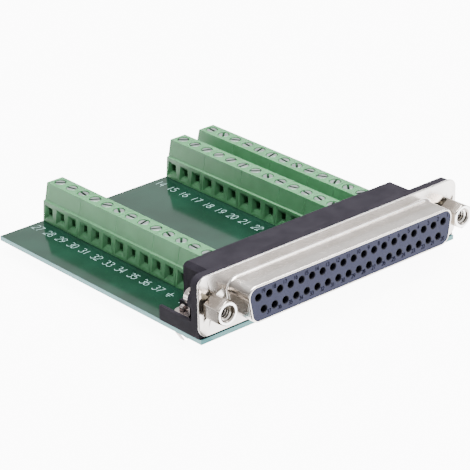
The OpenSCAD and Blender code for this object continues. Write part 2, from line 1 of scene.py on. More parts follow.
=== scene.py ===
# %% [markdown]
# # A D-shaped socket on a terminal board
#
# The object is a green circuit board. A right-angle socket with 37 contacts stands on its front edge, and
# three rows of clamp terminals stand behind it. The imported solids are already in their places, so this
# script only dresses them: it rounds their edges, draws the shell and the jackscrews anew, prints the
# numbers, and gives each surface its finish. Everything is in metres, with X along the socket, Y back
# over the board and Z up.

# %% Load the frame
import json
import math

import bmesh
import bpy
import numpy as np
from mathutils import Matrix, Vector


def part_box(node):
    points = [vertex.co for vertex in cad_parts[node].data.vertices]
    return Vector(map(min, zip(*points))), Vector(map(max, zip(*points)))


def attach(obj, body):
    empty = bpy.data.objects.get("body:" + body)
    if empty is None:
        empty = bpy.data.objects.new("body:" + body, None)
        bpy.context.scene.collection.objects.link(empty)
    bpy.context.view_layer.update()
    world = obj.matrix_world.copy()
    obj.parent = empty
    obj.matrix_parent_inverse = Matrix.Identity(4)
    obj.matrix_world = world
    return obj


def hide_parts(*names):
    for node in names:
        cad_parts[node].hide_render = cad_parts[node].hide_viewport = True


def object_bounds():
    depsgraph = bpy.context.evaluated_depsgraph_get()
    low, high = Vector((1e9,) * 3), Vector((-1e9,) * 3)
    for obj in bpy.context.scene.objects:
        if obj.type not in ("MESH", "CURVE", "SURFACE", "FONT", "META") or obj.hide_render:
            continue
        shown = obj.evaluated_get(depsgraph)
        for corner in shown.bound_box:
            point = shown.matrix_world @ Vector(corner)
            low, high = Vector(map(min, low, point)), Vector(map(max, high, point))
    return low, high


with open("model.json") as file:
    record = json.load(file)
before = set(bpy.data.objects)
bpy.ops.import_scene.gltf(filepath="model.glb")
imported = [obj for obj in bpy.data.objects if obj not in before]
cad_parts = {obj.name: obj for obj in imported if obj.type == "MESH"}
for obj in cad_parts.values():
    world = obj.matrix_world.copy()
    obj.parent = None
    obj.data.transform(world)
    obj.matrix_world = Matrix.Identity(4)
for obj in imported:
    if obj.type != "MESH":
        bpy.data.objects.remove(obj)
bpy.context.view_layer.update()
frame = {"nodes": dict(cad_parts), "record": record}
NODES = frame["nodes"]
MM = 0.001
ROWS = ("left", "middle", "right")
scene = bpy.context.scene

# %% [markdown]
# ## Where the main faces are
#
# Later pieces have to sit on the solids. Their places could be typed in, but they would be wrong as soon
# as the part changed, so they are read from the solids' boxes. A handful of real sizes, such as the
# contact spacing, are standard ones and are written once here.

# %% Places read from the solids
CONTACT_PITCH = 2.77
CONTACT_GAP = 2.84
UPPER_COUNT = 19
CONTACTS = 2 * UPPER_COUNT - 1
POLE_PITCH = 3.96
POLES = 13


def box_mm(node):
    """Lowest and highest corners of a node, in millimetres."""
    low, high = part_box(node)
    return np.array(low) / MM, np.array(high) / MM


BOARD_LOW, BOARD_HIGH = box_mm("circuit_board")
SHELL_LOW, SHELL_HIGH = box_mm("front_shell")
JACK_LOW, JACK_HIGH = box_mm("right_jackscrew")
JACK_X = (JACK_LOW[0] + JACK_HIGH[0]) / 2
JACK_FRONT, JACK_END = JACK_LOW[1], JACK_HIGH[1]
INSULATOR_FACE = box_mm("contact_insulator")[0][1]
SCREW_TOP = box_mm("left_screw_1")[1][2]
print(f"board top at {BOARD_HIGH[2]:.2f} mm, jackscrews at {JACK_X:.2f} mm, front at {JACK_FRONT:.2f} mm")

# %% [markdown]
# ## The camera
#
# The camera could be placed by eye, but the contact holes lie on a standard pattern, so the photograph's
# own camera could be worked out from them: its direction, its roll, and how long its lens was. A camera's
# own axes are its right, its up and its back, and its place is a distance out along the back axis, with a
# small shift along the other two.

# %% Camera at the photograph's angle
CAMERA_AZIMUTH = -40.706
CAMERA_ELEVATION = 24.981
CAMERA_ROLL = -1.228
CAMERA_PLACE_MM = (-19.277, 3.993, 446.135)
FOCAL_PIXELS = 2267.35
PHOTO_PIXELS = 470
SENSOR_MM = 36


def camera_axes(azimuth, elevation, roll):
    """Right, up and back of a camera: back points out of the camera's rear, roll turns the other two."""
    a, e, r = np.radians([azimuth, elevation, roll])
    back = np.array([np.sin(a) * np.cos(e), -np.cos(a) * np.cos(e), np.sin(e)])
    level = np.array([np.cos(a), np.sin(a), 0.0])
    upright = np.cross(back, level)
    right = np.cos(r) * level + np.sin(r) * upright
    up = np.cos(r) * upright - np.sin(r) * level
    return np.array([right, up, back])


axes = camera_axes(CAMERA_AZIMUTH, CAMERA_ELEVATION, CAMERA_ROLL)
camera_data = bpy.data.cameras.new("camera")
camera_data.sensor_width = SENSOR_MM
camera_data.lens = FOCAL_PIXELS / PHOTO_PIXELS * SENSOR_MM
camera_data.clip_start = 0.01
camera_data.clip_end = 20
camera = bpy.data.objects.new("camera", camera_data)
scene.collection.objects.link(camera)
camera.matrix_world = (
    Matrix.Translation(Vector(np.array(CAMERA_PLACE_MM) @ axes * MM))
    @ Matrix(axes.T.tolist()).to_4x4()
)
scene.camera = camera
print(f"lens {camera_data.lens:.1f} mm, camera at {[round(v, 3) for v in camera.location]} m")

# %% [markdown]
# ## The floor
#
# The photograph is a product shot on a lit white table, with hardly any shadow. A plain white floor would
# need so much light that the metal burnt out, so the floor glows by itself. It glows less towards the
# object than towards the camera: the metal then keeps some tone, and the table still reads as white.

# %% A floor that glows
FLOOR_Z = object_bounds()[0].z
FLOOR_SIZE = 6
TABLE_SHADE = 0.2
TABLE_GLOW = 5.5
TABLE_SEEN = 10


def flat_square(name, centre, size):
    """Level square about a centre, in metres."""
    corners = np.array([(-1, -1, 0), (1, -1, 0), (1, 1, 0), (-1, 1, 0)]) * size / 2 + centre
    mesh = bpy.data.meshes.new(name)
    mesh.from_pydata(corners.tolist(), [], [(0, 1, 2, 3)])
    square = bpy.data.objects.new(name, mesh)
    scene.collection.objects.link(square)
    return square


def dull_paint(name, colour):
    """Rough material of one colour. Returns it with its shader."""
    material = bpy.data.materials.new(name)
    material.use_nodes = True
    shader = material.node_tree.nodes["Principled BSDF"]
    shader.inputs["Base Color"].default_value = (*colour, 1)
    shader.inputs["Roughness"].default_value = 1
    return material, shader


floor = flat_square("floor", (0, 0, FLOOR_Z), FLOOR_SIZE)
table, table_shader = dull_paint("lit_table", (TABLE_SHADE, TABLE_SHADE, TABLE_SHADE))
table_shader.inputs["Specular IOR Level"].default_value = 0
table_shader.inputs["Emission Color"].default_value = (1, 1, 1, 1)
ray = table.node_tree.nodes.new("ShaderNodeLightPath")
glow = table.node_tree.nodes.new("ShaderNodeMapRange")
glow.inputs["To Min"].default_value = TABLE_GLOW
glow.inputs["To Max"].default_value = TABLE_SEEN
table.node_tree.links.new(ray.outputs["Is Camera Ray"], glow.inputs["Value"])
table.node_tree.links.new(glow.outputs["Result"], table_shader.inputs["Emission Strength"])
floor.data.materials.append(table)
print(f"floor at {FLOOR_Z / MM:.2f} mm")

# %% [markdown]
# ## Surroundings and lights
#
# A plated sheet has hardly a colour of its own: it shows what stands round it. White from all sides would
# wash out its form, so the surroundings grow dim on the left, and two cards lie on the floor there, one
# nearly black and one dark grey, as a photographer lays flags. Only reflections see the cards. Two soft
# lamps give the rest: a large one overhead for the plastic, and a faint one at the right for the edges.

# %% A white tent that is dim on the left


def tent(bright, dim, left_edge, right_edge):
    """Strength of the world goes smoothly from dim to bright with the sideways part of the direction."""
    world = bpy.data.worlds.new("tent")
    scene.world = world
    world.use_nodes = True
    tree = world.node_tree
    direction = tree.nodes.new("ShaderNodeTexCoord")
    parts = tree.nodes.new("ShaderNodeSeparateXYZ")
    strength = tree.nodes.new("ShaderNodeMapRange")
    strength.interpolation_type = "SMOOTHSTEP"
    for socket, value in (
            ("From Min", left_edge), ("From Max", right_edge), ("To Min", dim), ("To Max", bright)):
        strength.inputs[socket].default_value = value
    tree.links.new(direction.outputs["Generated"], parts.inputs["Vector"])
    tree.links.new(parts.outputs["X"], strength.inputs["Value"])
    tree.links.new(strength.outputs["Result"], tree.nodes["Background"].inputs["Strength"])
    tree.nodes["Background"].inputs["Color"].default_value = (1, 1, 1, 1)


tent(bright=1.4, dim=0.25, left_edge=-0.95, right_edge=-0.2)
print(f"surroundings: {scene.world.name}")

# %% Dark cards and soft lamps
CARD_LIFT = 0.0005
OBJECT_MIDDLE = (0, 0.03, 0)


def dark_card(name, x, y, size, shade):
    """Dull square just over the floor that only shows in reflections."""
    card = flat_square(name, (x, y, FLOOR_Z + CARD_LIFT), size)
    card.data.materials.append(dull_paint(name, shade)[0])
    card.visible_camera = False
    card.visible_diffuse = False
    card.visible_shadow = False


def soft_lamp(name, place, size, watts):
    """Square area light at a place, turned to face the object."""
    data = bpy.data.lights.new(name, "AREA")
    data.size = size
    data.energy = watts
    lamp = bpy.data.objects.new(name, data)
    lamp.location = place
    lamp.rotation_euler = (Vector(OBJECT_MIDDLE) - Vector(place)).to_track_quat("-Z", "Y").to_euler()
    scene.collection.objects.link(lamp)


dark_card("flag_front_left", x=-0.1285, y=-0.101, size=0.2, shade=(0.02, 0.016, 0.01))
dark_card("flag_back_left", x=-0.06, y=0.018, size=0.04, shade=(0.12, 0.12, 0.122))
soft_lamp("overhead", place=(0.05, 0.0, 0.6), size=0.6, watts=30)
soft_lamp("edge", place=(0.354, -0.252, 0.412), size=0.2, watts=1)
print("2 cards and 2 lamps")

# %% [markdown]
# ## Finishes
#
# A finish is a small set of shader nodes, and most of them need the same few steps: a noise, a ramp of
# colours, some arithmetic. They could be joined by hand for every material, but a small class keeps the
# calls short. All patterns read Object coordinates, which here are metres in the frame, so a grain of a
# tenth of a millimetre is a noise at a scale of ten thousand.

# %% Material helpers


class Finish:
    """A new material with its shader at hand, and short calls to add and join nodes."""

    def __init__(self, name, colour, roughness, metallic=0.0):
        self.slot = name
        self.material = bpy.data.materials.new(name)
        self.material.use_nodes = True
        self.material.diffuse_color = (*colour, 1)
        self.tree = self.material.node_tree
        self.shader = self.tree.nodes["Principled BSDF"]
        self.coords = self.add("ShaderNodeTexCoord")
        self.set(self.shader, "Base Color", (*colour, 1))
        self.set(self.shader, "Roughness", roughness)
        self.set(self.shader, "Metallic", metallic)

    def add(self, kind, **properties):
        """Adds a node and sets its properties by name."""
        node = self.tree.nodes.new(kind)
        for key, value in properties.items():
            setattr(node, key, value)
        return node

    def set(self, node, socket, value):
        """Gives an unjoined socket its value."""
        node.inputs[socket].default_value = value

    def join(self, source, node, socket):
        """Leads an output to a node's socket."""
        self.tree.links.new(source, node.inputs[socket])

    def feed(self, node, socket, value):
        """Joins a socket to another one, or sets it where the value is a plain one."""
        if hasattr(value, "links"):
            self.join(value, node, socket)
        else:
            self.set(node, socket, value)

    def axes(self, source="Object"):
        """X, Y and Z of the piece's points in metres, or of its normals, as three sockets."""
        parts = self.add("ShaderNodeSeparateXYZ")
        self.join(self.coords.outputs[source], parts, "Vector")
        return [parts.outputs[name] for name in "XYZ"]

    def noise(self, scale, detail):
        """Noise with a number of grains in a metre, and some finer ones inside them."""
        noise = self.add("ShaderNodeTexNoise")
        self.set(noise, "Scale", scale)
        self.set(noise, "Detail", detail)
        self.join(self.coords.outputs["Object"], noise, "Vector")
        return noise.outputs["Fac"]

    def calc(self, operation, *values):
        """One step of arithmetic on sockets and constants."""
        step = self.add("ShaderNodeMath", operation=operation)
        for place, value in enumerate(values):
            self.feed(step, place, value)
        return step.outputs[0]

    def length(self, across, along):
        """Distance whose two parts stand at a right angle: the root of the sum of their squares."""
        squares = [self.calc("MULTIPLY", part, part) for part in (across, along)]
        return self.calc("SQRT", self.calc("ADD", *squares))

    def span(self, source, low, high, first=0.0, last=1.0):
        """Stretches the values from first to last onto the range from low to high, and holds them there."""
        rescale = self.add("ShaderNodeMapRange")
        for socket, value in (("From Min", first), ("From Max", last), ("To Min", low), ("To Max", high)):
            self.set(rescale, socket, value)
        self.join(source, rescale, "Value")
        return rescale.outputs["Result"]

    def ramp(self, source, stops):
        """Turns a 0 to 1 value into a colour, by stops of (place, colour)."""
        ramp = self.add("ShaderNodeValToRGB")
        for element, (place, colour) in zip(ramp.color_ramp.elements, stops):
            element.position = place
            element.color = (*colour, 1)
        self.join(source, ramp, "Fac")
        return ramp.outputs["Color"]

    def paint(self, where, colour):
        """Covers the present colour with another one, as far as the socket where is 1."""
        present = self.shader.inputs["Base Color"].links[0].from_socket
        mix = self.add("ShaderNodeMix", data_type="RGBA")
        first, second = (socket for socket in mix.inputs if socket.type == "RGBA")
        self.join(where, mix, "Factor")
        self.tree.links.new(present, first)
        if hasattr(colour, "links"):
            self.tree.links.new(colour, second)
        else:
            second.default_value = (*colour, 1)
        result = next(socket for socket in mix.outputs if socket.type == "RGBA")
        self.join(result, self.shader, "Base Color")

    def bump(self, source, height_mm):
        """Small relief from a 0 to 1 value, of a real height."""
        relief = self.add("ShaderNodeBump")
        self.set(relief, "Distance", height_mm * MM)
        self.set(relief, "Strength", 1)
        self.join(source, relief, "Height")
        self.join(relief.outputs["Normal"], self.shader, "Normal")


def srgb(red, green, blue):
    """Linear colour of an 8-bit screen colour."""
    c = np.array([red, green, blue]) / 255
    return tuple(float(v) for v in np.where(c <= 0.04045, c / 12.92, ((c + 0.055) / 1.055) ** 2.4))


print("helpers ready")

# %% [markdown]
# ## The board's solder mask
#
# The board is glass-fibre laminate under a thin, glossy green lacquer, and its cut edges show the paler
# laminate. Two materials would need a mesh that is cut where the lacquer ends. One material can tell the
# faces apart instead: those that look up or down are lacquered, except for a strip along the front edge.

# %% Lacquer on the faces and laminate on the edges
BARE_STRIP = 0.3
mask_green = Finish("solder_mask", srgb(10, 48, 32), roughness=0.11)
mask_green.set(mask_green.shader, "Specular IOR Level", 0.27)
mask_green.set(mask_green.shader, "Specular Tint", (0.72, 1.0, 0.9, 1.0))
laminate = mask_green.ramp(
    mask_green.noise(9000, detail=4), [(0.4, srgb(58, 98, 100)), (0.6, srgb(84, 124, 126))])
lacquer = mask_green.ramp(
    mask_green.noise(120, detail=2), [(0.35, srgb(9, 28, 20)), (0.65, srgb(12, 35, 26))])
_, board_y, _ = mask_green.axes()
_, _, looks_up = mask_green.axes("Normal")
behind_strip = mask_green.calc("GREATER_THAN", board_y, (BOARD_LOW[1] + BARE_STRIP) * MM)
mask_green.join(laminate, mask_green.shader, "Base Color")
mask_green.paint(mask_green.calc("MULTIPLY", mask_green.calc("ABSOLUTE", looks_up), behind_strip), lacquer)
print("solder mask ready")

# %% [markdown]
# ## Moulded plastics
#
# The terminals are a pale green plastic, the bracket a dull black one and the insulator a bluish grey
# one. A moulded face is never one even colour: it drifts a little, and a fine grain breaks up its shine.
# One function makes that for all plastics and metals here, because only their numbers differ. The
# terminals also scatter some light inside, which softens the shadows in their thin walls.

# %% A drifting colour with a fine grain
DRIFT_SCALE = 260
SHINE_SPREAD = 0.06


def speckled(name, dark, light, roughness, grain, relief_mm, metallic=0.0, shine=0.5):
    """Slow drift between two near colours, with a fine grain that also varies the shine and stands out."""
    made = Finish(name, light, roughness, metallic)
    made.set(made.shader, "Specular IOR Level", shine)
    drift = made.noise(DRIFT_SCALE, detail=2)
    made.join(made.ramp(drift, [(0.35, dark), (0.65, light)]), made.shader, "Base Color")
    fine = made.noise(grain, detail=2)
    made.join(made.span(fine, roughness - SHINE_SPREAD, roughness + SHINE_SPREAD), made.shader, "Roughness")
    made.bump(fine, relief_mm)
    return made


terminal_green = speckled(
    "terminal_plastic", srgb(46, 90, 57), srgb(50, 95, 62), roughness=0.5, grain=16000, relief_mm=0.004,
    shine=0.3)
terminal_green.set(terminal_green.shader, "Subsurface Weight", 0.3)
terminal_green.set(terminal_green.shader, "Subsurface Radius", (0.5, 1.0, 0.6))
terminal_green.set(terminal_green.shader, "Subsurface Scale", 0.8 * MM)
bracket_black = speckled(
    "bracket_plastic", srgb(19, 17, 22), srgb(25, 23, 28), roughness=0.6, grain=9000, relief_mm=0.01,
    shine=0.04)
insulator_grey = speckled(
    "insulator_plastic", srgb(23, 25, 45), srgb(27, 29, 49), roughness=0.5, grain=14000, relief_mm=0.004,
    shine=0.12)
print("3 plastics ready")

# %% [markdown]
# ## Dark rims of the contact holes
#
# Each contact hole opens in a small funnel that little light leaves, so the eye takes it for part of the
# hole. A ring of faces round every hole would do, but the holes lie on a regular pattern, so the finish
# can work out how far a point is from the nearest one. X folded back and forth over half a pitch is the
# distance to the nearest hole of an endless row, and past the row's end a metre is added so that nothing
# shows there.

# %% Distance to the nearest contact hole
HOLE_RIM = 0.88
RIM_BLUR = 0.04
face_x, _, face_z = insulator_grey.axes()
to_rows = []
for count, shift, row_z in (
        (UPPER_COUNT, 0, CONTACT_GAP / 2), (UPPER_COUNT - 1, CONTACT_PITCH / 2, -CONTACT_GAP / 2)):
    shifted = insulator_grey.calc("ADD", face_x, shift * MM)
    across = insulator_grey.calc("PINGPONG", shifted, CONTACT_PITCH / 2 * MM)
    along = insulator_grey.calc("SUBTRACT", face_z, row_z * MM)
    sideways = insulator_grey.calc("ABSOLUTE", face_x)
    past_end = insulator_grey.calc("GREATER_THAN", sideways, count / 2 * CONTACT_PITCH * MM)
    to_rows.append(insulator_grey.calc("ADD", insulator_grey.length(across, along), past_end))
to_hole = insulator_grey.calc("MINIMUM", *to_rows)
in_hole = insulator_grey.span(to_hole, 1, 0, (HOLE_RIM - RIM_BLUR) * MM, (HOLE_RIM + RIM_BLUR) * MM)
insulator_grey.paint(in_hole, srgb(11, 11, 19))
print(f"{CONTACTS} hole rims")

# %% [markdown]
# ## Plated sheet and turned screws
#
# The shell and the jackscrews are nickel-plated steel, the jackscrews a shade darker but for their
# front faces, which are made lighter. A threaded hole and the groove behind a hexagon see hardly any
# light. Black surroundings for these places alone can't be had, so their plating is made dark there, by
# the distance from the screw's axis and by the depth along it.

# %% Nickel, bright and shaded
NECK_LENGTH = 0.7
HOLE_SHADE = (1.45, 1.6)
FACE_DEPTH = 0.05
nickel = speckled(
    "nickel_shell", srgb(200, 195, 190), srgb(212, 207, 203), roughness=0.22, grain=5000, relief_mm=0.0012,
    metallic=1.0)
# The thread's nickel is a lighter copy of the jackscrew's: painted light on the ridges inside the hole.
thread_painted_light = speckled(
    "thread_metal_painted_light", srgb(214, 208, 200), srgb(226, 221, 214), roughness=0.25, grain=6000, relief_mm=0.001,
    metallic=1.0)
jack_nickel = speckled(
    "jackscrew_metal", srgb(160, 152, 143), srgb(176, 168, 160), roughness=0.2, grain=6000, relief_mm=0.002,
    metallic=1.0)
jack_x, jack_y, jack_z = jack_nickel.axes()
off_axis = jack_nickel.calc("SUBTRACT", jack_nickel.calc("ABSOLUTE", jack_x), JACK_X * MM)
in_bore = jack_nickel.span(
    jack_nickel.length(off_axis, jack_z), 1, 0, HOLE_SHADE[0] * MM, HOLE_SHADE[1] * MM)
at_neck = jack_nickel.span(jack_y, 0, 1, -(NECK_LENGTH + 0.02) * MM, -(NECK_LENGTH - 0.04) * MM)
before_flange = jack_nickel.calc("LESS_THAN", jack_y, 0)
shaded = jack_nickel.calc("MULTIPLY", jack_nickel.calc("MAXIMUM", in_bore, at_neck), before_flange)
# The front faces get a lighter colour than the rest of the jackscrew.
on_face = jack_nickel.calc("LESS_THAN", jack_y, (JACK_FRONT + FACE_DEPTH) * MM)
jack_nickel.paint(on_face, srgb(236, 234, 232))
jack_nickel.paint(shaded, srgb(64, 60, 52))
print("nickel ready")

# %% [markdown]
# ## Straps, contacts, cages, pins and clamp screws
#
# These are tinned, gilded or zinc-plated, and most are smaller than a grain of rice, so a plain metal
# with a fine grain is enough. Two of them get darker where light doesn't reach: the contacts where they
# stand in their holes, and the clamp screws at the depth of their slots, which would otherwise vanish in
# a bright head. The cages' steel is made far darker than plain steel: partly its own colour and partly
# painted shade, so that the wire passages round them read as black holes.

# %% The smaller metals
CONTACT_DARK_TO = -2
SLOT_SHADE = (0.3, 0.1)
strap_tin = speckled(
    "strap_metal", srgb(160, 149, 147), srgb(174, 163, 161), roughness=0.24, grain=5000, relief_mm=0.002,
    metallic=1.0)
contact_gold = speckled(
    "contact_metal", srgb(206, 180, 130), srgb(218, 194, 146), roughness=0.25, grain=6000, relief_mm=0.001,
    metallic=1.0)
_, contact_y, _ = contact_gold.axes()
contact_gold.paint(contact_gold.span(contact_y, 1, 0, CONTACT_DARK_TO * MM, 0), srgb(30, 24, 22))
# Steel of the clamp cages, darkened past its own colour: painted shade in the wire passages.
cage_steel_and_shade = speckled(
    "cage_metal", srgb(52, 54, 52), srgb(62, 64, 61), roughness=0.4, grain=6000, relief_mm=0.002,
    metallic=1.0)
pin_tin = speckled(
    "pin_metal", srgb(160, 160, 160), srgb(174, 174, 172), roughness=0.28, grain=6000, relief_mm=0.002,
    metallic=1.0)
screw_zinc = speckled(
    "screw_metal", srgb(134, 146, 141), srgb(152, 164, 158), roughness=0.34, grain=9000, relief_mm=0.003,
    metallic=1.0)
_, _, screw_z = screw_zinc.axes()
slot_low, slot_high = ((SCREW_TOP - depth) * MM for depth in SLOT_SHADE)
screw_zinc.paint(screw_zinc.span(screw_z, 1, 0, slot_low, slot_high), srgb(52, 58, 60))
print("5 metals ready")

# %% [markdown]
# ## Every solid in its finish
#
# The record names a material slot for each node. The finishes could be handed out node by node, but going
# through the slots gives the same material to all pieces that are made of the same stuff, and none is
# missed.

# %% Each solid gets its finish
FINISH_OF_SLOT = {
    made.slot: made.material
    for made in (
        mask_green, terminal_green, bracket_black, insulator_grey, nickel, jack_nickel, strap_tin,
        contact_gold, cage_steel_and_shade, pin_tin, screw_zinc)
}
SLOT_OF_NODE = {part["node"]: part["material_slot"] for part in frame["record"]["subparts"]}


def dress(piece, material):
    """Leaves one material on a piece."""
    piece.data.materials.clear()
    piece.data.materials.append(material)


for name, node in NODES.items():
    dress(node, FINISH_OF_SLOT[SLOT_OF_NODE[name]])
print(f"{len(FINISH_OF_SLOT)} finishes on {len(NODES)} nodes")

# %% [markdown]
# ## Rounded edges
#
# A moulded or stamped piece has no razor edge: each corner has a small radius, and that radius is what
# catches the light. The edges could be rounded one by one in the solids, but a Bevel modifier rounds a
# whole solid at once. The solid's triangles are loose, so a copy is merged first, and flat regions are
# joined into one face so that the bevel sees real edges only. The left, middle and right terminals, the
# bracket, the insulator and the straps get it, because they stand in full view.

# %% Rounded copies of the solids
MERGE_DISTANCE = 2e-6
FLAT_WITHIN = math.radians(0.5)
EDGE_FROM = math.radians(40)


def add_piece(name, mesh, material):
    """Puts a mesh into the scene as a piece of the fixed body."""
    piece = bpy.data.objects.new(name, mesh)
    scene.collection.objects.link(piece)
    dress(piece, material)
    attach(piece, "root")
    return piece


def softened(node, radius_mm):
    """Copy of a node with its sharp edges rounded to a radius. It stands for the node."""
    mesh = NODES[node].data.copy()
    mesh.name = f"{node}_rounded"
    work = bmesh.new()
    work.from_mesh(mesh)
    bmesh.ops.remove_doubles(work, verts=work.verts, dist=MERGE_DISTANCE)
    bmesh.ops.dissolve_limit(
        work, angle_limit=FLAT_WITHIN, use_dissolve_boundaries=False, verts=work.verts, edges=work.edges)
    work.to_mesh(mesh)
    work.free()
    mesh.polygons.foreach_set("use_smooth", np.ones(len(mesh.polygons), bool))
    slot = SLOT_OF_NODE[node]
    piece = add_piece(f"{node}_rounded", mesh, FINISH_OF_SLOT[slot])
    bevel = piece.modifiers.new("round", "BEVEL")
    bevel.width = radius_mm * MM
    bevel.segments = 2
    bevel.limit_method = "ANGLE"
    bevel.angle_limit = EDGE_FROM
    bevel.use_clamp_overlap = True
    bevel.miter_outer = "MITER_ARC"
    smooth = piece.modifiers.new("weights", "WEIGHTED_NORMAL")
    smooth.keep_sharp = True
    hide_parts(node)


for row in ROWS:
    softened(f"{row}_terminal_blocks", 0.1)
softened("angle_bracket", 0.15)
softened("contact_insulator", 0.05)
for side in ("left", "right"):
    softened(f"{side}_ground_strap", 0.06)
print("7 solids rounded")

# %% [markdown]
# ## Skins worked out with numpy
#
# The pieces that follow are all skins through rings of points: the rings lie one after the other, and
# quads join each ring to the next. A ring may be a cut through a strip, a thread or a screw. Blender's
# own spin and screw tools could make some of them, but only a table of points can follow any formula, and
# it keeps each piece at the origin, unturned.

# %% Quads between rings, and meshes from them
SAME_DEPTH = 0.001


def ring_faces(rings, around, ends="capped"):
    """Quads that join rings of points in turn. Point k of ring n has the number n * around + k.

    The two ends are capped by a face each, joined to each other, or left open.
    """
    i = np.arange(rings if ends == "joined" else rings - 1)
    i, j = (numbers.ravel() for numbers in np.meshgrid(i, np.arange(around), indexing="ij"))
    here, there = i * around, (i + 1) % rings * around
    j_next = (j + 1) % around
    faces = np.stack([here + j, here + j_next, there + j_next, there + j], 1).tolist()
    if ends == "capped":
        first = np.arange(around)
        faces += [first.tolist(), (rings * around - 1 - first).tolist()]
    return faces


def joined(skins):
    """One array of points and one list of faces from several skins, with the later faces renumbered."""
    points, faces = [], []
    count = 0
    for some, more in skins:
        points.append(some)
        faces += [[number + count for number in face] for face in more]
        count += len(some)
    return np.concatenate(points), faces


def outward_mesh(name, points_mm, faces, smooth, fill_depths=()):
    """Mesh of points in millimetres, with its faces turned outwards.

    Open edges that lie at one of the depths along Y are first filled with a flat face that leaves out the
    holes in it.
    """
    mesh = bpy.data.meshes.new(name)
    mesh.from_pydata((points_mm * MM).tolist(), [], faces)
    mesh.validate()
    work = bmesh.new()
    work.from_mesh(mesh)
    for depth in fill_depths:
        rims = [
            edge for edge in work.edges
            if edge.is_boundary and all(abs(end.co.y / MM - depth) < SAME_DEPTH for end in edge.verts)]
        bmesh.ops.triangle_fill(work, use_beauty=True, use_dissolve=False, edges=rims)
    bmesh.ops.recalc_face_normals(work, faces=work.faces)
    work.to_mesh(mesh)
    work.free()
    mesh.polygons.foreach_set("use_smooth", np.full(len(mesh.polygons), smooth))
    return mesh


def at_depth(loop, y):
    """Puts an X and Z loop at a depth behind the flange's front face."""
    return np.stack([loop[:, 0], np.full(len(loop), y), loop[:, 1]], -1)


def through(loops, ends):
    """Points and faces of a skin through loops of equally many points."""
    return np.concatenate(loops), ring_faces(len(loops), len(loops[0]), ends)


print("a cube has", len(ring_faces(2, 4)), "faces")

# %% [markdown]
# ## The drawn shell
#
# The flange and its D-shaped collar are one sheet of plated steel. A press pulls the collar out of the
# flat sheet, which leaves a round root where it leaves the flange and a round rim in front. Beveled edges
# could only copy one of them, and the mirror finish shows every flaw, so the sheet is drawn anew. The
# collar is a closed loop carried along a profile: the loop is four arcs joined by straights, and a
# distance from the arcs' centres sets how large it is, so the same loop serves the inside, the rim, the
# outside and the root.

# %% Outlines of the collar and of the flange
END_MARGIN = 2.49
COLLAR_WIDTH = (UPPER_COUNT - 1) * CONTACT_PITCH + 2 * END_MARGIN
COLLAR_HEIGHT = 7.9
COLLAR_CORNER = 2.2
COLLAR_LEAN = math.radians(10)
FLANGE_CORNER = 2.0
ARC_STEPS = 18
CIRCLE_STEPS = 48


def collar_loop(offset):
    """D outline in X and Z: arcs of radius offset about four fixed centres, joined by straights."""
    high = COLLAR_HEIGHT / 2 - COLLAR_CORNER
    wide = COLLAR_WIDTH / 2 - COLLAR_CORNER
    narrow = wide - 2 * high * math.tan(COLLAR_LEAN)
    centres = np.array([(wide, high), (-wide, high), (-narrow, -high), (narrow, -high)])
    starts = np.array([-COLLAR_LEAN, math.pi / 2, math.pi + COLLAR_LEAN, 1.5 * math.pi])
    ends = np.array([math.pi / 2, math.pi + COLLAR_LEAN, 1.5 * math.pi, 2 * math.pi - COLLAR_LEAN])
    angles = starts[:, None] + (ends - starts)[:, None] * np.linspace(0, 1, ARC_STEPS)
    loop = centres[:, None] + offset * np.stack([np.cos(angles), np.sin(angles)], -1)
    return loop.reshape(-1, 2)


def flange_loop(inset):
    """Rounded rectangle in X and Z, set in from the flange's edge: a quarter circle about each corner."""
    radius = FLANGE_CORNER - inset
    centre = np.array([SHELL_HIGH[0], SHELL_HIGH[2]]) - FLANGE_CORNER
    signs = np.array([(1, 1), (-1, 1), (-1, -1), (1, -1)])
    angles = (np.arange(4)[:, None] + np.linspace(0, 1, ARC_STEPS)) * math.pi / 2
    loop = (centre * signs)[:, None] + radius * np.stack([np.cos(angles), np.sin(angles)], -1)
    return loop.reshape(-1, 2)


def circle_loop(x, radius):
    """Circle in X and Z about a point of the contact plane."""
    angle = np.linspace(0, 2 * math.pi, CIRCLE_STEPS, endpoint=False)
    return np.stack([x + radius * np.cos(angle), radius * np.sin(angle)], -1)


print(f"collar {COLLAR_WIDTH:.2f} by {COLLAR_HEIGHT} mm")

# %% The shell's skin
COLLAR_SHEET = 0.4
COLLAR_ROOT = 0.55
COLLAR_RIM = 0.34
COLLAR_REACH = -SHELL_LOW[1]
FLANGE_BACK = SHELL_HIGH[1]
FLANGE_EDGE = 0.12
FLANGE_BACK_EDGE = 0.04
FLANGE_HOLE = 1.6
FILLET_STEPS = 7


def collar_profile():
    """Pairs of (distance from the arcs' centres, depth): a line and three quarter circles.

    The profile runs from the flange's back, forward along the inside, round the rim and back along the
    outside to the root.
    """
    sine, cosine = (wave(np.linspace(0, math.pi / 2, FILLET_STEPS)) for wave in (np.sin, np.cos))
    inner = COLLAR_CORNER - COLLAR_SHEET
    inner_rim = COLLAR_SHEET - COLLAR_RIM
    wall = [(inner, FLANGE_BACK), (inner, inner_rim - COLLAR_REACH)]
    rim_inside = np.stack([inner + inner_rim * (1 - cosine), inner_rim * (1 - sine) - COLLAR_REACH], 1)
    rim_outside = np.stack(
        [COLLAR_CORNER - COLLAR_RIM * (1 - sine), COLLAR_RIM * (1 - cosine) - COLLAR_REACH], 1)
    root = np.stack([COLLAR_CORNER + COLLAR_ROOT * (1 - cosine), -COLLAR_ROOT * (1 - sine)], 1)
    return np.concatenate([wall, rim_inside[1:], rim_outside[1:], root])


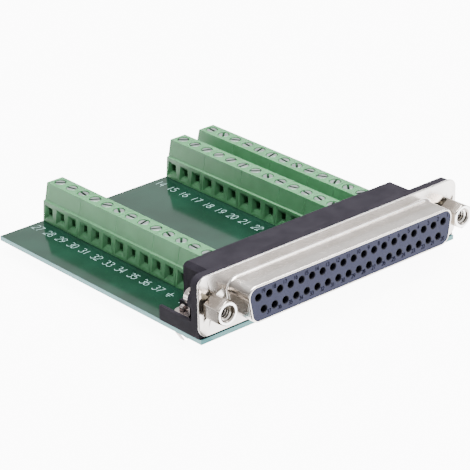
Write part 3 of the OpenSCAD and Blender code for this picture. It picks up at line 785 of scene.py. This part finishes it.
def drawn_shell():
    """The flange and the collar as one closed skin, whose two flat faces are filled in last."""
    turn = np.linspace(0, math.pi / 2, FILLET_STEPS)
    edge = np.stack([FLANGE_EDGE * (1 - np.sin(turn)), FLANGE_EDGE * (1 - np.cos(turn))], 1)
    edge = np.concatenate([edge, [(FLANGE_BACK_EDGE, FLANGE_BACK)]])
    skins = [
        through([at_depth(collar_loop(offset), y) for offset, y in collar_profile()], "open"),
        through([at_depth(flange_loop(inset), y) for inset, y in edge], "open")]
    for x in (-JACK_X, JACK_X):
        hole = circle_loop(x, FLANGE_HOLE)
        skins.append(through([at_depth(hole, y) for y in (0, FLANGE_BACK)], "open"))
    points, faces = joined(skins)
    mesh = outward_mesh("drawn_shell", points, faces, True, fill_depths=(0, FLANGE_BACK))
    piece = add_piece("drawn_shell", mesh, nickel.material)
    piece.modifiers.new("weights", "WEIGHTED_NORMAL")
    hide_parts("front_shell")
    return piece


shell = drawn_shell()
print(f"shell of {len(shell.data.polygons)} faces")

# %% [markdown]
# ## Print on the board
#
# The numbers beside the terminals are screen print: one line of even width with round bends, about two
# millimetres tall. A text object would bring a typeface that doesn't look like it. A digit is only a few
# lines and arcs in a box one wide and two high, so each stroke is a path of points, and a flat ribbon is
# carried along it, with its corners mitred so that the width stays even.

# %% Strokes of the digits and of an earth sign


def arc(x, y, rx, ry, start, end, steps=14):
    """Points on an ellipse about (x, y) from one angle to another, in degrees."""
    a = np.radians(np.linspace(start, end, steps))
    return np.stack([x + rx * np.cos(a), y + ry * np.sin(a)], -1)


def line(*points):
    """Straight stroke through points."""
    return np.array(points, float)


STROKES = {
    "0": [arc(0.5, 1, 0.5, 1, 0, 360, 28)],
    "1": [line((0.5, 0), (0.5, 2))],
    "2": [np.concatenate([arc(0.5, 1.45, 0.5, 0.55, 170, -35), line((0, 0), (1, 0))])],
    "3": [
        np.concatenate([arc(0.46, 1.52, 0.46, 0.48, 150, -80), arc(0.46, 0.54, 0.54, 0.54, 80, -150)])],
    "4": [line((0.72, 0), (0.72, 2), (0, 0.62), (1, 0.62))],
    "5": [
        np.concatenate([line((0.95, 2), (0.14, 2), (0.08, 1.12)), arc(0.46, 0.66, 0.54, 0.66, 115, -150)])],
    "6": [arc(0.5, 0.6, 0.5, 0.6, 0, 360, 24), arc(0.85, 0.6, 0.85, 1.4, 180, 100)],
    "7": [line((0, 2), (1, 2), (0.36, 0))],
    "8": [arc(0.5, 1.52, 0.42, 0.48, 0, 360, 20), arc(0.5, 0.52, 0.5, 0.52, 0, 360, 22)],
    "9": [arc(0.5, 1.4, 0.5, 0.6, 0, 360, 24), arc(0.15, 1.4, 0.85, 1.4, 0, -80)],
    "earth": [
        line((0.83, 2), (0.83, 1.16)), line((-0.1, 1.1), (1.76, 1.1)), line((0.26, 0.56), (1.4, 0.56)),
        line((0.6, 0.02), (1.06, 0.02))],
}
print(f"{len(STROKES)} signs")

# %% Ribbons along the strokes
SHARPEST_MITRE = 0.45
SIGN_STEP = 0.66


def ribbon(path, width, thickness):
    """Closed flat strip along a path of points in a plane.

    At each point the strip's sides lie along the bisector of its two neighbouring directions, lengthened by
    the inverse of the half angle's cosine. Returns points (x, y, height) and faces.
    """
    step = np.diff(path, axis=0)
    step /= np.linalg.norm(step, axis=1)[:, None]
    closed = np.allclose(path[0], path[-1])
    before = np.concatenate([step[-1:] if closed else step[:1], step])
    after = np.concatenate([step, step[:1] if closed else step[-1:]])
    side = np.stack([-(before + after)[:, 1], (before + after)[:, 0]], -1)
    side /= np.linalg.norm(side, axis=1)[:, None]
    normal = np.stack([-after[:, 1], after[:, 0]], -1)
    reach = width / 2 / np.clip((side * normal).sum(1), SHARPEST_MITRE, 1)[:, None]
    corners = [(1, thickness), (-1, thickness), (-1, 0), (1, 0)]
    rings = np.stack([
        np.concatenate([path + sign * side * reach, np.full((len(path), 1), height)], 1)
        for sign, height in corners], 1)
    if closed:
        rings = rings[:-1]
    return rings.reshape(-1, 3), ring_faces(len(rings), 4, "joined" if closed else "capped")


def label(signs, size, width, thickness, place):
    """Ribbons of a row of signs. place turns (along, up, height) in millimetres into the frame."""
    skins = []
    for position, sign in enumerate(signs):
        for stroke in STROKES[sign]:
            flat = stroke * size / 2 + (position * size * SIGN_STEP, 0)
            points, faces = ribbon(flat, width, thickness)
            skins.append((place(points), faces))
    return skins


def print_piece(name, labels, material):
    """Joins labels, each a list of ribbons, into one piece."""
    points, faces = joined([skin for skins in labels for skin in skins])
    piece = add_piece(name, outward_mesh(name, points, faces, False), material)
    return piece


print(f"a ring of print has {len(ribbon(STROKES['0'][0], 0.1, 0.02)[0])} points")

# %% Numbers of the poles
LABEL_SIZE = 1.95
LABEL_STROKE = 0.1
INK = 0.02
LABEL_FEET = {"left": -27.1, "middle": 6.3, "right": 30.4}
LABEL_LEAD = 0.72
FIRST_NUMBER = {"left": 27, "middle": 14, "right": 1}


def pole_place(row, pole):
    """Turns label coordinates into the frame: along runs forwards and up to +X, or both turned back."""
    middle = BOARD_HIGH[1] - (pole + 0.5) * POLE_PITCH
    turn = -1 if row == "right" else 1

    def place(points):
        along, up, height = points.T
        return np.stack(
            [LABEL_FEET[row] + turn * up, middle + turn * (LABEL_LEAD - along), BOARD_HIGH[2] + height], -1)

    return place


print_white = Finish("print_white", srgb(116, 146, 142), roughness=0.6)
labels = []
for row, first in FIRST_NUMBER.items():
    for pole in range(POLES):
        number = first + pole
        signs = list(str(number)) if number <= CONTACTS else ["earth"]
        labels.append(label(signs, LABEL_SIZE, LABEL_STROKE, INK, pole_place(row, pole)))
numbers = print_piece("pole_numbers", labels, print_white.material)
print(f"{len(labels)} labels, {len(numbers.data.polygons)} faces")

# %% [markdown]
# ## Numbers beside the contacts
#
# Each contact hole has its number moulded beside it, hardly a millimetre tall and darker than the
# plastic. The upper row counts from the right to the left as the viewer sees it, and the lower row goes
# on from there. A bump could give their relief but not their crisp outline, so the same strokes are used
# again, smaller, on the face of the insulator.

# %% Contact numbers
CONTACT_LABEL = 0.8
CONTACT_STROKE = 0.14
CONTACT_RELIEF = 0.015
LABEL_ABOVE = 0.62
LABEL_BELOW = 1.32
LABEL_ASIDE = 1.3
DIGIT_BACK = 0.26


def contact_place(x, z):
    """Turns label coordinates into the insulator's face: along +X, up +Z, and height comes forwards."""

    def place(points):
        along, up, height = points.T
        return np.stack([x + along, INSULATOR_FACE - height, z + up], -1)

    return place


print_dark = Finish("print_dark", srgb(6, 6, 14), roughness=0.9)
print_dark.set(print_dark.shader, "Specular IOR Level", 0)
contact_labels = []
for number in range(1, CONTACTS + 1):
    upper = number <= UPPER_COUNT
    from_middle = (UPPER_COUNT + 1) / 2 - number if upper else 3 * UPPER_COUNT / 2 - number
    digits = list(str(number))
    x = from_middle * CONTACT_PITCH + LABEL_ASIDE - DIGIT_BACK * len(digits)
    z = CONTACT_GAP / 2 + LABEL_ABOVE if upper else -CONTACT_GAP / 2 - LABEL_BELOW
    contact_labels.append(
        label(digits, CONTACT_LABEL, CONTACT_STROKE, CONTACT_RELIEF, contact_place(x, z)))
print_piece("contact_numbers", contact_labels, print_dark.material)
print(f"{len(contact_labels)} contact numbers")

# %% [markdown]
# ## Threads
#
# A thread is a ridge wound on a helix. Its section is a trapezium: wide where it stands on the wall and
# narrow at its crest. A bump can't draw it, because the far side of a hole shows the ridges edge on. So
# the ridge is a skin: one direction runs along the helix, the other round the section.

# %% Ridge of a screw thread
THREAD_PITCH = 0.635
THREAD_CREST = 1.18
THREAD_SUNK = 0.04
ROOT_HALF, CREST_HALF = 0.36, 0.08
THREAD_END = 0.3
THREAD_STEPS = 28


def thread(name, x, start, turns, wall, material):
    """Ridge inside a round wall: point = (x + r cos a, start + pitch a / 2 pi + w, r sin a).

    The radius r and the place w along the axis run round the trapezium, whose half widths are in pitches.
    Both shrink to a thin ridge in the wall over the first and the last half turn.
    """
    angle = np.linspace(0, 2 * math.pi * turns, turns * THREAD_STEPS + 1)[:, None]
    root = wall + THREAD_SUNK
    height = np.array([root, THREAD_CREST, THREAD_CREST, root])
    width = np.array([-ROOT_HALF, -CREST_HALF, CREST_HALF, ROOT_HALF])
    grown = np.clip(np.minimum(angle, angle[-1] - angle) / math.pi, 0, 1)
    radius = root + (height - root) * grown
    along = start + THREAD_PITCH * (angle / (2 * math.pi) + width * (THREAD_END + (1 - THREAD_END) * grown))
    points = np.stack([x + radius * np.cos(angle), along, radius * np.sin(angle)], -1).reshape(-1, 3)
    return add_piece(name, outward_mesh(name, points, ring_faces(len(angle), 4), False), material)


print(f"thread of {THREAD_PITCH} mm pitch")

# %% [markdown]
# ## Jackscrews
#
# A jackscrew is turned from hexagonal bar. The lathe cuts a cone over the front corners, which leaves a
# round face. Cutting one solid from another would give that, with long thin faces that shade badly. So
# its outline at each depth is worked out as the smaller of a hexagon and a circle, and the skin starts at
# the bottom of the threaded hole, comes out through the countersink, and goes back over the face, the
# hexagon and the neck to the end of the stud.

# %% Outline of a hexagon with rounded corners
HEX_FLATS = 4.76
HEX_CORNER = 0.15
CORNER_STEPS = np.radians([-1.6, -0.8, 0, 0.8, 1.6, 7, 14, 22, 30, 38, 46, 53])
HEX_ANGLES = (np.arange(6)[:, None] * math.pi / 3 + CORNER_STEPS).ravel()


def hexagon_radius(angle):
    """Distance to a hexagon with rounded corners, whose first corner points along angle 0.

    On a flat it is a / cos(30 deg - d), with d the angle from the nearest corner. Near a corner it is
    c cos d + sqrt(r^2 - c^2 sin^2 d), an arc of radius r about a point c = (a - r) / cos 30 deg out.
    """
    across = HEX_FLATS / 2
    d = np.abs((angle + math.pi / 6) % (math.pi / 3) - math.pi / 6)
    centre = (across - HEX_CORNER) / math.cos(math.pi / 6)
    tangent = math.atan2(HEX_CORNER / 2, centre + HEX_CORNER * math.cos(math.pi / 6))
    arc_part = centre * np.cos(d) + np.sqrt(np.maximum(HEX_CORNER ** 2 - (centre * np.sin(d)) ** 2, 0))
    return np.where(d < tangent, arc_part, across / np.cos(math.pi / 6 - d))


print(f"hexagon {2 * hexagon_radius(np.zeros(1))[0]:.2f} mm over its corners")

# %% Both jackscrews, with a thread inside
FACE_RADIUS = 2.3
CONE_SLOPE = 1.7
CONE_STEPS = (0, 0.04, 0.08, 0.13, 0.18, 0.24, 0.3)
MOUTH_RADIUS = 1.8
BORE_RADIUS = 1.48
BORE_DEPTH = 4.4
NECK_RADIUS = 1.95
STUD_RADIUS = 1.42
STUD_CHAMFER = 0.15
SHARP_FROM = math.radians(35)
THREAD_START = 0.35
THREAD_TURNS = 6


def jackscrew_outline(hexagon):
    """Pairs of (radius, depth) from the hole's bottom to the stud's end, with the hexagon as an array."""
    bore = [
        (BORE_RADIUS, JACK_FRONT + BORE_DEPTH), (BORE_RADIUS, JACK_FRONT + MOUTH_RADIUS - BORE_RADIUS),
        (MOUTH_RADIUS, JACK_FRONT + 0.02), (MOUTH_RADIUS + 0.03, JACK_FRONT)]
    cone = [(FACE_RADIUS - 0.04, JACK_FRONT)] + [
        (np.minimum(hexagon, FACE_RADIUS + CONE_SLOPE * step), JACK_FRONT + 0.03 + step)
        for step in CONE_STEPS]
    back = [
        (hexagon, -NECK_LENGTH - 0.06), (hexagon - 0.02, -NECK_LENGTH - 0.02),
        (hexagon - 0.08, -NECK_LENGTH), (NECK_RADIUS, -NECK_LENGTH)]
    stud = [
        (NECK_RADIUS, FLANGE_BACK), (STUD_RADIUS, FLANGE_BACK + 0.1),
        (STUD_RADIUS, JACK_END - STUD_CHAMFER), (STUD_RADIUS - STUD_CHAMFER, JACK_END)]
    return bore + cone + back + stud


def turned_hexagon(name, x, material):
    """Jackscrew as a skin through rings along its axis, with a corner of the hexagon at the top."""
    angle = HEX_ANGLES + math.pi / 2
    circle = np.stack([np.cos(angle), np.sin(angle)], -1)
    loops = [
        at_depth(circle * np.reshape(radius, (-1, 1)) + (x, 0), depth)
        for radius, depth in jackscrew_outline(hexagon_radius(HEX_ANGLES))]
    mesh = outward_mesh(name, *through(loops, "capped"), True)
    mesh.set_sharp_from_angle(angle=SHARP_FROM)
    return add_piece(name, mesh, material)


for side, x in (("left", -JACK_X), ("right", JACK_X)):
    turned = turned_hexagon(f"{side}_jackscrew_turned", x, jack_nickel.material)
    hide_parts(f"{side}_jackscrew")
    ridge = thread(
        f"{side}_jackscrew_thread", x, JACK_FRONT + THREAD_START, THREAD_TURNS, BORE_RADIUS,
        thread_painted_light.material)
print("jackscrews turned and threaded")
